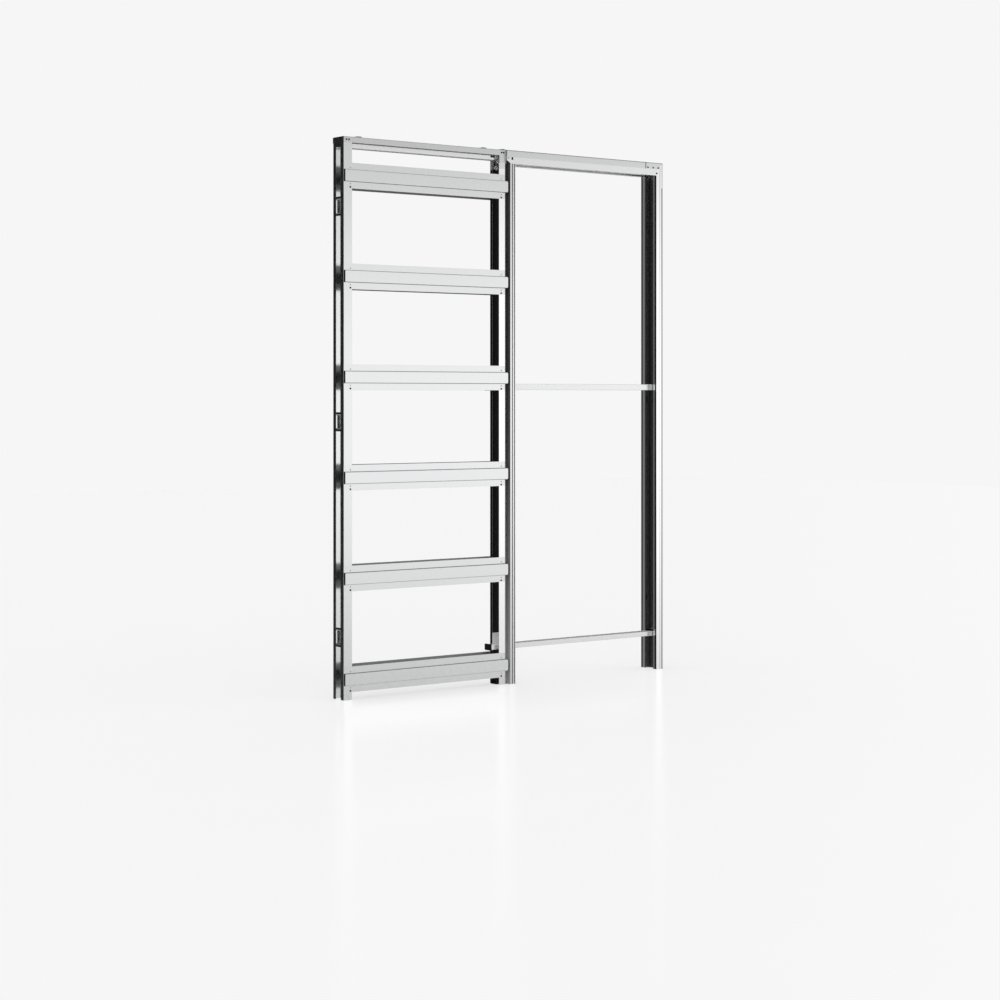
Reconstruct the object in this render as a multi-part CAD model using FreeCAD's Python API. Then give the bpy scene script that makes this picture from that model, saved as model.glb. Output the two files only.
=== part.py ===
import FreeCAD, Part
import math
import os

# Pocket door frame: a steel pocket of twelve rails on the left, a lined passage on the right,
# and one track over both. X runs along the wall, Y through it, Z up from the floor.
# All sizes are in millimetres.

# Overall sizes
passage_width = 773.0        # clear way between the mouth trims and the strike jamb
passage_height = 2135.0      # floor to the underside of the head trims
pocket_length = 808.0        # back of the frame to the mouth trims
stud_depth = 75.0            # over the outer faces of the uprights
board_step = 12.5            # rail bands and trims stand this far proud of the uprights

# Sheet and wall thicknesses
steel = 1.2                  # folded sheet of the uprights, posts and rails
header_steel = 1.5           # folded sheet of the two headers and the corner plates
alloy = 2.0                  # walls of the extruded trims and the strike jamb
bend_radius = 1.2            # inside radius of a fold
fit = 0.3                    # gap between pieces that slide together

# Back uprights and the clips that hold them apart
upright_width = 40.0
upright_lip = 20.0           # side lip on the back of the frame
upright_return = 10.0        # lip on the pocket side
clip_floor_gap = 242.0       # floor to the middle of the lowest clip
clip_head_gap = 270.0        # frame's top to the middle of the highest clip
clip_height = 75.0
clip_ear = 11.0              # flat ends of the clip, against the lips
clip_dish = 13.0             # depth of its middle
clip_slope = 2.0
clip_lap = 12.0              # how far it reaches behind each lip
clip_hole = 14.0

# Rails that carry the boards of the pocket
rail_count = 6
rail_floor_gap = 80.0        # floor to the middle of the lowest rail
rail_head_gap = 151.5        # frame's top to the middle of the highest rail
rail_height = 100.0
rail_band = 47.0             # raised middle
rail_end_gap = 11.0          # between the band's end and the mouth trim
rail_corner = 8.0            # rounding of the band's free end
rail_flange_gap = 2.0        # between the rail's flange and the post's edge
rear_rail_inset = 12.0       # the rear rails start this far from the frame's back

# Mouth of the pocket
mouth_slot = 43.0            # clear slot that the door slides through
post_face = 32.5             # front of the posts, which takes the ends of the rails
post_wing = 11.5             # part of the front one's face that stands free on the pocket side
post_notch = 78.0            # frame's top to the end of the posts' inner folds
lining = 1.0                 # strip on each side of the slot
board_channel = 16.0         # channel beside the mouth trim that takes the board's edge
channel_leg_gap = 1.0        # its free leg ends this far behind the post's face
trim_width = 27.0            # visible face of the mouth and head trims
trim_groove_at = 9.0
trim_groove_width = 5.0
trim_groove_depth = 4.0      # grooves of the mouth trims
trim_land = 6.0              # between their two grooves
trim_relief = 1.0            # depth of the head trims' and strike jamb's grooves
floor_plate = 2.0
floor_plate_ear = 28.0
floor_hole = 7.0
floor_hole_inset = 20.0
bracket_steel = 2.0
bracket_drop = 76.0
bracket_hole = 6.0
bracket_hole_rise = 7.0
track_gap = 1.0              # bracket to track

# Headers and track
header_flange = 28.0         # front of the passage header
pocket_header_flange = 23.0
header_tab_drop = 54.0       # tabs of its flanges, down the posts
header_tab_inset = 1.0
header_tongue = 13.0         # the flanges run on this far behind the passage header's
end_tab_drop = 38.0
end_tab_gap = 0.5
track_width = 42.0
track_height = 40.5
track_wall = 2.5
track_slot = 14.0            # gap that the hangers run through
track_rib = 1.5
track_rib_drop = 14.0
track_end_gap = 2.5          # between the track and the strike jamb
top_clip_back_gap = 62.0     # frame's back to the first clip
top_clip_mouth_gaps = (135.0, 37.0)
top_clip_width = 33.0
top_clip_depth = 56.0
top_clip_rise = 5.0
top_clip_foot = 12.0
top_clip_radius = 0.4
head_lip = 12.0              # upturned inner edge of the head trims
head_soffit = 26.5           # width of their underside
head_tongue = 23.0           # tongue behind the header's flange
head_cut_length = 18.0       # sloping cut at their lower corner over the mouth
head_cut_rise = 12.5
head_slot_at = 6.5
head_slot_width = 9.0
head_slot_height = 11.0
head_slot_drop = 0.5
head_hole_at = 7.0
head_hole_drop = 4.0
head_hole = 6.0
head_hole_depth = 6.0        # through the trim's face and tongue

# Strike jamb and its corner plates
strike_width = 37.0
strike_recess = 26.5         # depth of the channel that takes the door's edge
strike_recess_width = 48.0
strike_nose = 12.0           # flat of the lips
strike_bevel = 4.0           # the lips slope this much into the channel
strike_strip = 9.0           # set-back strip along the wall side
strike_groove_at = 10.0
strike_groove_width = 11.0
strike_hole_floor_gaps = (307.0, 1165.0)
strike_hole_head_gap = 263.0
strike_hole_width = 14.0
strike_hole_height = 30.0
corner_arm = 96.0
corner_leg = 109.0
corner_gap = 4.0

# Spacer bars that keep the passage parallel until the frame is built in
spacer_rises = {"bottom": 153.0, "middle": 1219.5}
spacer_heights = {"bottom": 20.0, "middle": 25.0}
spacer_wall = 1.5
spacer_overrun = 25.5        # the bars run this far into the pocket, past the posts
plug_length = 36.0
mouth_cap_length = 4.0
strike_cap_length = 6.0
strike_cap_side = 1.0
cap_rise = 3.0               # the caps stand this far above and below the bar

# Lines that the pieces share
frame_width = pocket_length + trim_width + passage_width + strike_width
frame_height = passage_height + trim_width + header_flange
back = -frame_width / 2
mouth = back + pocket_length
passage_left = mouth + trim_width
passage_right = passage_left + passage_width
wall_side = passage_right + strike_width
stud_face = -stud_depth / 2
board_face = stud_face - board_step
header_underside = frame_height - header_steel
post_top = header_underside - bend_radius
post_right = mouth - board_channel
post_left = post_right - post_face
post_wall = post_left + post_wing
notch_floor = frame_height - post_notch
slot_edge = -mouth_slot / 2
slot_wall = slot_edge - lining
lining_edge = passage_left - alloy
head_trim_top = passage_height + trim_width
head_trim_left = post_right + fit
corner_left = wall_side - corner_arm
strike_web = passage_right + strike_recess
strip_left = wall_side - strike_strip
spacer_depth = mouth_slot - 2 * fit


def plan(u, v):
    """A point of a plan section."""
    return FreeCAD.Vector(u, v, 0)


def across(u, v):
    """A point of a section across the wall."""
    return FreeCAD.Vector(0, u, v)


def along(u, v):
    """A point of a section along the wall."""
    return FreeCAD.Vector(u, 0, v)


def box(x, y, z):
    """A block between pairs of limits."""
    corner = FreeCAD.Vector(x[0], y[0], z[0])
    return Part.makeBox(x[1] - x[0], y[1] - y[0], z[1] - z[0], corner)


def left_of(a, b):
    """Unit vector to the left of the line from a to b."""
    length = math.hypot(b[0] - a[0], b[1] - a[1])
    return ((a[1] - b[1]) / length, (b[0] - a[0]) / length)


def sides_of(points, i):
    """Left-hand vectors of the two lines that meet at an inner point."""
    return left_of(points[i - 1], points[i]), left_of(points[i], points[i + 1])


def moved_left(points, distance):
    """An open line moved to its left, with mitred corners."""
    moved = []
    last = len(points) - 1
    for i, (u, v) in enumerate(points):
        if i == 0:
            before = after = left_of(points[0], points[1])
        elif i == last:
            before = after = left_of(points[last - 1], points[last])
        else:
            before, after = sides_of(points, i)
        share = distance / (1 + before[0] * after[0] + before[1] * after[1])
        moved.append((u + share * (before[0] + after[0]), v + share * (before[1] + after[1])))
    return moved


def rounded_edges(points, radii, place):
    """Straight edges along an open line, with a tangent arc at each inner point."""
    edges = []
    start = points[0]
    for i in range(1, len(points) - 1):
        before, after = sides_of(points, i)
        turn = math.acos(before[0] * after[0] + before[1] * after[1])
        reach = radii[i] * math.tan(turn / 2)
        corner = points[i]
        arrive = (corner[0] - reach * before[1], corner[1] + reach * before[0])
        leave = (corner[0] + reach * after[1], corner[1] - reach * after[0])
        middle = ((arrive[0] + leave[0]) / 2, (arrive[1] + leave[1]) / 2)
        bulge = radii[i] / math.cos(turn / 2) - radii[i]
        span = math.hypot(corner[0] - middle[0], corner[1] - middle[1])
        crown = (corner[0] + (middle[0] - corner[0]) * bulge / span,
                 corner[1] + (middle[1] - corner[1]) * bulge / span)
        edges.append(Part.LineSegment(place(*start), place(*arrive)).toShape())
        edges.append(Part.Arc(place(*arrive), place(*crown), place(*leave)).toShape())
        start = leave
    edges.append(Part.LineSegment(place(*start), place(*points[-1])).toShape())
    return edges


def folded(points, thickness, radius, place):
    """Face of a folded sheet: an open line with its thickness on the left and rounded folds."""
    far_points = moved_left(points, thickness)
    near_radii = [0.0] * len(points)
    far_radii = [0.0] * len(points)
    for i in range(1, len(points) - 1):
        before, after = sides_of(points, i)
        turns_left = before[0] * after[1] - before[1] * after[0] > 0
        near_radii[i] = radius + thickness if turns_left else radius
        far_radii[i] = radius if turns_left else radius + thickness
    near = rounded_edges(points, near_radii, place)
    far = rounded_edges(far_points[::-1], far_radii[::-1], place)
    ends = [Part.LineSegment(place(*points[-1]), place(*far_points[-1])).toShape(),
            Part.LineSegment(place(*far_points[0]), place(*points[0])).toShape()]
    return Part.Face(Part.Wire(near + ends[:1] + far + ends[1:]))


def extruded(points, thickness, place):
    """Face of an extrusion's wall: an open line with its thickness on the left and sharp corners."""
    outline = points + moved_left(points, thickness)[::-1] + points[:1]
    return Part.Face(Part.makePolygon([place(*point) for point in outline]))


def standing(face, top):
    """A vertical piece from the floor up, with a plan section."""
    return face.extrude(FreeCAD.Vector(0, 0, top))


def lying(face, left, right):
    """A horizontal piece along the wall with a section across it."""
    return face.extrude(FreeCAD.Vector(right - left, 0, 0)).translated(FreeCAD.Vector(left, 0, 0))


def crossing(face, half):
    """A piece through the wall with a section along it, as far to the front as to the rear."""
    return face.extrude(FreeCAD.Vector(0, 2 * half, 0)).translated(FreeCAD.Vector(0, -half, 0))


def seen_from_front(points):
    """Face with the given outline, upright along the wall."""
    corners = [along(*point) for point in points]
    return Part.Face(Part.makePolygon(corners + corners[:1]))


def prism_through(points):
    """A block right through the wall with the given outline seen from the front."""
    return crossing(seen_from_front(points), -2 * board_face)


def drilled(diameter, x, y, z, depth):
    """A round bit into the front face of the wall, from a point of that face."""
    start = FreeCAD.Vector(x, y - depth, z)
    return Part.makeCylinder(diameter / 2, 2 * depth, start, FreeCAD.Vector(0, 1, 0))


def to_rear(solid):
    """The same piece on the other face of the wall."""
    return solid.mirror(FreeCAD.Vector(0, 0, 0), FreeCAD.Vector(0, 1, 0))


def back_upright():
    """Folded channel at the back of the pocket, with a deep lip on its outer side."""
    section = [(back + upright_width, stud_face + upright_return), (back + upright_width, stud_face),
               (back, stud_face), (back, stud_face + upright_lip)]
    return standing(folded(section[::-1], steel, bend_radius, plan), post_top)


def back_clip(height):
    """Dished clip behind the lips of both uprights, with a round hole in its middle."""
    outer = back + steel
    inner = outer + clip_dish
    half = clip_height / 2
    shoulder = half - clip_ear
    section = [(outer, height - half), (outer, height - shoulder),
               (inner, height - shoulder + clip_slope), (inner, height + shoulder - clip_slope),
               (outer, height + shoulder), (outer, height + half)]
    front = stud_face + upright_lip - clip_lap
    clip = crossing(folded(section[::-1], floor_plate, bend_radius, along), -front)
    hole = Part.makeCylinder(clip_hole / 2, 2 * clip_dish, along(outer, height), FreeCAD.Vector(1, 0, 0))
    return clip.cut(hole)


def rail(height, start):
    """Hat-section rail: flanges on the uprights, a raised band with round corners at the mouth."""
    half = rail_height / 2
    half_band = rail_band / 2
    section = [(stud_face, height - half), (stud_face, height - half_band + steel),
               (board_face + steel, height - half_band + steel),
               (board_face + steel, height + half_band - steel),
               (stud_face, height + half_band - steel), (stud_face, height + half)]
    band_end = mouth - rail_end_gap
    flange_end = post_right - rail_flange_gap
    solid = lying(folded(section, steel, bend_radius, across), start, band_end)
    flanges = (stud_face - 2 * steel, stud_face + steel)
    solid = solid.cut(box((flange_end, mouth), flanges, (height - rail_height, height + rail_height)))
    proud = (board_face - steel, stud_face)
    centre = band_end - rail_corner
    for side in (-1, 1):
        level = height + side * (half_band - rail_corner)
        corner = box((centre, mouth), proud, sorted((level, level + side * rail_height)))
        rounding = drilled(2 * rail_corner, centre, stud_face, level, 2 * board_step)
        solid = solid.cut(corner.cut(rounding))
    return solid


def mouth_post(left):
    """Folded post beside the slot: a face for the rails, and a box behind it that stops under the head."""
    section = [(left, stud_face), (post_right, stud_face), (post_right, slot_wall),
               (post_wall, slot_wall), (post_wall, stud_face + steel + fit)]
    solid = standing(folded(section, steel, bend_radius, plan), post_top)
    folds = (post_left, post_right - steel - bend_radius)
    behind_face = (stud_face + steel + fit / 2, 0)
    return solid.cut(box(folds, behind_face, (notch_floor, frame_height)))


def mouth_lining():
    """Strip along the slot, over the joint between post and trim."""
    return box((post_wall, mouth), (slot_wall, slot_edge), (0, notch_floor))


def mouth_trim():
    """Extruded edge of the pocket: channel for the board's edge, grooved face, and lining of the slot."""
    inner = board_face + alloy
    deep = inner + trim_groove_depth
    groove = mouth + trim_groove_at
    land = groove + trim_groove_width
    edge_groove = land + trim_land
    section = [(lining_edge, deep), (edge_groove - alloy, deep), (edge_groove - alloy, inner),
               (land + alloy, inner), (land + alloy, deep), (groove - alloy, deep), (groove - alloy, inner),
               (mouth + alloy, inner), (mouth + alloy, slot_wall), (post_right, slot_wall),
               (post_right, stud_face + channel_leg_gap)]
    edge = box((lining_edge, passage_left), (board_face, slot_edge), (0, passage_height))
    return standing(extruded(section, alloy, plan), passage_height).fuse(edge).removeSplitter()


def mouth_floor_plate():
    """Upturned plate between the feet of the posts, with two holes for floor screws."""
    half = mouth_slot / 2
    section = [(-half, floor_plate_ear), (-half, 0), (half, 0), (half, floor_plate_ear)]
    solid = lying(folded(section, floor_plate, bend_radius, across), post_left, lining_edge)
    for x in (post_left + floor_hole_inset, lining_edge - floor_hole_inset):
        solid = solid.cut(Part.makeCylinder(floor_hole / 2, 2 * floor_plate, along(x, -floor_plate / 2)))
    return solid


def mouth_bracket():
    """Angle inside a post that ties its top to the header."""
    inside = stud_face + steel
    section = [(-track_width / 2 - track_gap, header_underside), (inside, header_underside),
               (inside, header_underside - bracket_drop)]
    right = post_right - steel - bend_radius
    solid = lying(folded(section, bracket_steel, bend_radius, across), post_wall, right)
    hole_level = header_underside - bracket_drop + bracket_hole_rise
    return solid.cut(drilled(bracket_hole, (post_wall + right) / 2, inside, hole_level, 2 * bracket_steel))


def pocket_header():
    """Inverted channel over the pocket, with tabs down the posts, one folded down at the back end, and
    tongues behind the passage header."""
    outside = stud_face - header_steel
    section = [(outside, frame_height - header_tab_drop), (outside, frame_height),
               (-outside, frame_height), (-outside, frame_height - header_tab_drop)]
    right = post_right + header_tongue
    solid = lying(folded(section[::-1], header_steel, bend_radius, across), back, right)
    for levels in ((0, passage_height + head_cut_rise), (post_top, 2 * frame_height)):
        solid = solid.cut(box((post_right, right), (board_face, -board_face), levels))
    below_flange = (0, frame_height - pocket_header_flange)
    for tab_left, side in ((post_left, (board_face, 0)), (post_wall, (0, -board_face))):
        solid = solid.cut(box((back, tab_left + header_tab_inset), side, below_flange))
    half = -stud_face - upright_lip - end_tab_gap
    tab_bottom = header_underside - end_tab_drop
    tab = box((back, back + header_steel), (-half, half), (tab_bottom, frame_height - header_steel / 2))
    return solid.fuse(tab).removeSplitter()


def track():
    """Extruded running track: a channel with inturned lips, under both headers."""
    half = track_width / 2
    bottom = header_underside - track_height
    section = [(-track_slot / 2, bottom), (-half, bottom), (-half, header_underside),
               (half, header_underside), (half, bottom), (track_slot / 2, bottom)]
    left = back + header_steel + fit
    right = passage_right - track_end_gap
    solid = lying(extruded(section[::-1], track_wall, across), left, right)
    middle = header_underside - track_rib_drop
    for side in (-1, 1):
        groove = box((left - 1, right + 1), sorted((side * half, side * (half - track_wall / 2))),
                     (middle - track_rib, middle + track_rib))
        solid = solid.cut(groove)
    return solid


def top_clip(left):
    """Low bridge on the header that a ceiling screw goes through."""
    foot = (top_clip_width - top_clip_foot) / 4
    rise = frame_height + top_clip_rise
    section = [(left, frame_height), (left + foot, frame_height), (left + foot, rise - steel),
               (left + top_clip_width - foot, rise - steel),
               (left + top_clip_width - foot, frame_height), (left + top_clip_width, frame_height)]
    return crossing(folded(section, steel, top_clip_radius, along), top_clip_depth / 2)


def passage_header():
    """Inverted channel over the passage; its flanges stop where the corner plates begin."""
    section = [(board_face, frame_height - header_flange), (board_face, frame_height),
               (-board_face, frame_height), (-board_face, frame_height - header_flange)]
    solid = lying(folded(section[::-1], header_steel, bend_radius, across), post_right, wall_side)
    full_depth = (2 * board_face, -2 * board_face)
    return solid.cut(box((corner_left - corner_gap, wall_side + 1), full_depth, (0, header_underside)))


def head_trim():
    """Extruded edge over the passage and the mouth trim, hung from a tongue behind the header's flange."""
    soffit_edge = board_face + head_soffit
    section = [(board_face, head_trim_top), (board_face, passage_height), (soffit_edge, passage_height),
               (soffit_edge, passage_height + head_lip)]
    solid = lying(extruded(section, alloy, across), head_trim_left, wall_side)
    behind = board_face + header_steel
    tongue = box((head_trim_left, wall_side), (behind, behind + alloy),
                 (passage_height + trim_width / 2, head_trim_top + head_tongue))
    gap = box((corner_left - corner_gap, corner_left), (board_face, 0), (head_trim_top, frame_height))
    solid = solid.fuse(tongue.cut(gap)).removeSplitter()
    groove = passage_height + trim_groove_at
    relief = (board_face - alloy, board_face + trim_relief)
    solid = solid.cut(box((head_trim_left - 1, wall_side), relief, (groove, groove + trim_groove_width)))
    lower_corner = [(head_trim_left, passage_height), (head_trim_left + head_cut_length, passage_height),
                    (head_trim_left, passage_height + head_cut_rise)]
    solid = solid.cut(prism_through(lower_corner)).cut(prism_through(strike_side_of_mitre()))
    slot_left = mouth + head_slot_at
    slot_top = head_trim_top - head_slot_drop
    slot = box((slot_left, slot_left + head_slot_width), (board_face - 1, board_face + head_hole_depth),
               (slot_top - head_slot_height, slot_top))
    hole_level = head_trim_top - head_hole_drop
    hole = drilled(head_hole, mouth - head_hole_at, board_face, hole_level, head_hole_depth)
    return solid.cut(slot).cut(hole)


def mitre_start():
    """Height at which the strike jamb's mitre leaves its passage edge."""
    return frame_height - strike_width


def strike_side_of_mitre():
    """Outline of the space that belongs to the strike jamb, right of its passage edge and mitre."""
    past = 2 * strike_width
    return [(passage_right, mitre_start() - past), (passage_right, mitre_start()),
            (strip_left, mitre_start() + strip_left - passage_right), (strip_left, frame_height + past),
            (wall_side + past, frame_height + past), (wall_side + past, mitre_start() - past)]


def header_side_of_mitre():
    """Outline of the space that belongs to the header, left of the set-back strip."""
    past = 2 * strike_width
    return [(passage_right - past, mitre_start()), (passage_right, mitre_start()),
            (strip_left, mitre_start() + strip_left - passage_right), (strip_left, frame_height + past),
            (passage_right - past, frame_height + past)]


def slotted_hole(height):
    """Upright slot through the web of the strike jamb."""
    radius = strike_hole_width / 2
    reach = (strike_hole_height - strike_hole_width) / 2
    start = strike_web - alloy
    along_x = FreeCAD.Vector(1, 0, 0)
    ends = [Part.makeCylinder(radius, 3 * alloy, along(start, height + side * reach), along_x)
            for side in (-1, 1)]
    middle = box((start, start + 3 * alloy), (-radius, radius), (height - reach, height + reach))
    return ends[0].fuse([ends[1], middle])


def strike_jamb():
    """Extruded jamb with a channel for the door's edge, between two bevelled lips."""
    nose = board_face + strike_nose
    throat = -strike_recess_width / 2
    front = [(wall_side, board_face), (passage_right, board_face), (passage_right, nose),
             (passage_right + strike_bevel, throat), (strike_web, throat)]
    section = front + [(x, -y) for x, y in front[::-1]]
    solid = standing(extruded(section[::-1], alloy, plan), header_underside)
    whole = (-alloy, frame_height)
    groove = passage_right + strike_groove_at
    reliefs = [((strip_left, wall_side + 1), header_steel),
               ((groove, groove + strike_groove_width), trim_relief)]
    for x, depth in reliefs:
        for limits in ((2 * board_face, board_face + depth), (-board_face - depth, -2 * board_face)):
            solid = solid.cut(box(x, limits, whole))
    for height in strike_hole_floor_gaps + (frame_height - strike_hole_head_gap,):
        solid = solid.cut(slotted_hole(height))
    return solid.cut(prism_through(header_side_of_mitre()))


def corner_plate():
    """Angle plate flush with the header, with a leg down the jamb's set-back strip."""
    depth = (board_face, board_face + header_steel)
    arm = box((corner_left, wall_side), depth, (frame_height - header_flange, header_underside))
    leg = box((strip_left, wall_side), depth, (frame_height - corner_leg, header_underside))
    past = 2 * strike_width
    jamb_face = [(passage_right, mitre_start()), (strip_left, mitre_start() + strip_left - passage_right),
                 (strip_left, mitre_start() - past), (passage_right, mitre_start() - past)]
    return arm.cut(prism_through(jamb_face)).fuse(leg).removeSplitter()


def spacer_bar(rise, height):
    """Tube across the passage, from the pocket through the mouth to the strike jamb's channel."""
    left = post_left - spacer_overrun
    right = strike_web - strike_cap_length - fit
    half_depth = spacer_depth / 2
    half_height = height / 2
    outer = box((left, right), (-half_depth, half_depth), (rise - half_height, rise + half_height))
    hollow = box((left - 1, right + 1), (spacer_wall - half_depth, half_depth - spacer_wall),
                 (rise - half_height + spacer_wall, rise + half_height - spacer_wall))
    rounded = outer.makeFillet(bend_radius, [e for e in outer.Edges if e.BoundBox.XLength > plug_length])
    return rounded.cut(hollow)


def plug(rise, height, start):
    """Part of a cap inside the tube."""
    half_depth = spacer_depth / 2 - spacer_wall - fit
    half_bore = height / 2 - spacer_wall - fit
    return box((start, start + plug_length), (-half_depth, half_depth), (rise - half_bore, rise + half_bore))


def cap(left, length, half_depth, rise, height, plug_start):
    """Moulded cap with round corners on the end of a bar, and its plug in the tube."""
    half_height = height / 2 + cap_rise
    block = box((left, left + length), (-half_depth, half_depth), (rise - half_height, rise + half_height))
    edges = [e for e in block.Edges if e.BoundBox.XLength > length / 2]
    return block.makeFillet(cap_rise, edges).fuse(plug(rise, height, plug_start)).removeSplitter()


def mouth_cap(rise, height):
    """Cap in the pocket, narrow enough to go through the slot."""
    right = post_left - spacer_overrun
    return cap(right - mouth_cap_length, mouth_cap_length, spacer_depth / 2, rise, height, right)


def strike_cap(rise, height):
    """Cap in the strike jamb's channel, against its web."""
    left = strike_web - strike_cap_length
    half_depth = strike_recess_width / 2 - strike_cap_side
    return cap(left, strike_cap_length, half_depth, rise, height, left - plug_length)


pieces = {
    "back_upright_front": back_upright(),
    "mouth_lining_front": mouth_lining(),
    "mouth_trim_front": mouth_trim(),
    "mouth_bracket_front": mouth_bracket(),
    "head_trim_front": head_trim(),
    "corner_plate_front": corner_plate(),
}
for name in list(pieces):
    pieces[name.replace("front", "rear")] = to_rear(pieces[name])
pieces["mouth_post_front"] = mouth_post(post_left)
pieces["mouth_post_rear"] = to_rear(mouth_post(post_wall))
rail_pitch = (frame_height - rail_head_gap - rail_floor_gap) / (rail_count - 1)
for number in range(rail_count):
    level = rail_floor_gap + number * rail_pitch
    pieces["rail_front_%d" % (number + 1)] = rail(level, back)
    pieces["rail_rear_%d" % (number + 1)] = to_rear(rail(level, back + rear_rail_inset))

highest_clip = frame_height - clip_head_gap
pieces["back_clip_bottom"] = back_clip(clip_floor_gap)
pieces["back_clip_middle"] = back_clip((clip_floor_gap + highest_clip) / 2)
pieces["back_clip_top"] = back_clip(highest_clip)
pieces["top_clip_1"] = top_clip(back + top_clip_back_gap)
for number, gap in enumerate(top_clip_mouth_gaps):
    pieces["top_clip_%d" % (number + 2)] = top_clip(mouth - gap)
for label, rise in spacer_rises.items():
    height = spacer_heights[label]
    pieces["spacer_%s" % label] = spacer_bar(rise, height)
    pieces["spacer_%s_mouth_cap" % label] = mouth_cap(rise, height)
    pieces["spacer_%s_strike_cap" % label] = strike_cap(rise, height)
pieces["mouth_floor_plate"] = mouth_floor_plate()
pieces["pocket_header"] = pocket_header()
pieces["passage_header"] = passage_header()
pieces["track"] = track()
pieces["strike_jamb"] = strike_jamb()

os.makedirs("parts", exist_ok=True)
for name, solid in pieces.items():
    solid.exportStep("parts/%s.step" % name)
    print("%-26s solids %d valid %s volume %.0f" % (name, len(solid.Solids), solid.isValid(), solid.Volume))
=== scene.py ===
import math

import bmesh
import bpy
import numpy as np
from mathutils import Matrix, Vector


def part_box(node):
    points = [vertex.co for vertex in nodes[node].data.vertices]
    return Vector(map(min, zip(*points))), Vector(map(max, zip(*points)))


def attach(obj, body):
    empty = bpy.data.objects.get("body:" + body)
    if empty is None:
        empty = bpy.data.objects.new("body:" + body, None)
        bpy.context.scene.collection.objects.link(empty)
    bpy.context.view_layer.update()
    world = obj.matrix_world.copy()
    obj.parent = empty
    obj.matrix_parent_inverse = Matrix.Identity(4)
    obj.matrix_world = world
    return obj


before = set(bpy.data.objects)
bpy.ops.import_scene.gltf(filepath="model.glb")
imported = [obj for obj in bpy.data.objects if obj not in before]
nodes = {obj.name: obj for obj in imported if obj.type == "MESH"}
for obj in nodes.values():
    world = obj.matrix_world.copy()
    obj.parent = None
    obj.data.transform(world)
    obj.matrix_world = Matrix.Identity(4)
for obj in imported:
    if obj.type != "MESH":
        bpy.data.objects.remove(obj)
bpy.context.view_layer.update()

# Back uprights: folded channels of zinc-coated steel strip at the closed end of the pocket, which stand
# on the floor and carry its rails and header. The zinc shows as a faint mottle of crystals, crossed by
# fine lines along the strip.
ALONG_Z = (0, 0, 1)
CRYSTALS_PER_METRE = 95.0
DARK_CRYSTAL = 0.965
LINES_PER_METRE = 900.0
LINE_STRETCH = 0.012
LINE_SHARE = 0.45
GRAIN_PER_METRE = 2600.0
GRAIN_SHARE = 0.4
ZINC_GLOSS_SPREAD = 0.03
ZINC_RELIEF = 0.000008
UPRIGHT_GREY = (0.80, 0.805, 0.81)


def new_finish(name):
    """An empty finish, with its node tree, its shader and the piece's own coordinates."""
    finish = bpy.data.materials.new(name)
    finish.use_nodes = True
    tree = finish.node_tree
    coordinates = tree.nodes.new("ShaderNodeTexCoord").outputs["Object"]
    return finish, tree, tree.nodes["Principled BSDF"], coordinates


def drawn_out(tree, coordinates, along):
    """The coordinates squeezed along one axis, which draws a pattern out into lines that way."""
    mapping = tree.nodes.new("ShaderNodeMapping")
    mapping.inputs["Scale"].default_value = [LINE_STRETCH if part else 1.0 for part in along]
    tree.links.new(coordinates, mapping.inputs["Vector"])
    return mapping.outputs["Vector"]


def noise(tree, coordinates, per_metre, detail=2.0):
    """Cloud noise with so many lumps to the metre, from 0 to 1."""
    texture = tree.nodes.new("ShaderNodeTexNoise")
    texture.inputs["Scale"].default_value = per_metre
    texture.inputs["Detail"].default_value = detail
    tree.links.new(coordinates, texture.inputs["Vector"])
    return texture.outputs["Fac"]


def crystals(tree, coordinates, per_metre):
    """A patchwork of cells with so many to the metre, each with its own value from 0 to 1."""
    texture = tree.nodes.new("ShaderNodeTexVoronoi")
    texture.inputs["Scale"].default_value = per_metre
    tree.links.new(coordinates, texture.inputs["Vector"])
    split = tree.nodes.new("ShaderNodeSeparateColor")
    tree.links.new(texture.outputs["Color"], split.inputs["Color"])
    return split.outputs["Red"]


def average(tree, first, second, share):
    """The first pattern with a share of the second mixed in."""
    mix = tree.nodes.new("ShaderNodeMix")
    mix.inputs["Factor"].default_value = share
    tree.links.new(first, mix.inputs["A"])
    tree.links.new(second, mix.inputs["B"])
    return mix.outputs["Result"]


def tinted(tree, pattern, low, high, socket):
    """The pattern as a colour between two others, on a shader's colour socket."""
    ramp = tree.nodes.new("ShaderNodeValToRGB")
    ramp.color_ramp.elements[0].color = (*low, 1.0)
    ramp.color_ramp.elements[1].color = (*high, 1.0)
    tree.links.new(pattern, ramp.inputs["Fac"])
    tree.links.new(ramp.outputs["Color"], socket)


def ranged(tree, pattern, low, high, socket):
    """The pattern as a number between two others, on a shader's number socket."""
    spread = tree.nodes.new("ShaderNodeMapRange")
    spread.inputs["To Min"].default_value = low
    spread.inputs["To Max"].default_value = high
    tree.links.new(pattern, spread.inputs["Value"])
    tree.links.new(spread.outputs["Result"], socket)


def raised(tree, pattern, depth, shader):
    """The pattern as a relief so many metres deep."""
    bump = tree.nodes.new("ShaderNodeBump")
    bump.inputs["Strength"].default_value = 1.0
    bump.inputs["Distance"].default_value = depth
    tree.links.new(pattern, bump.inputs["Height"])
    tree.links.new(bump.outputs["Normal"], shader.inputs["Normal"])


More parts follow.
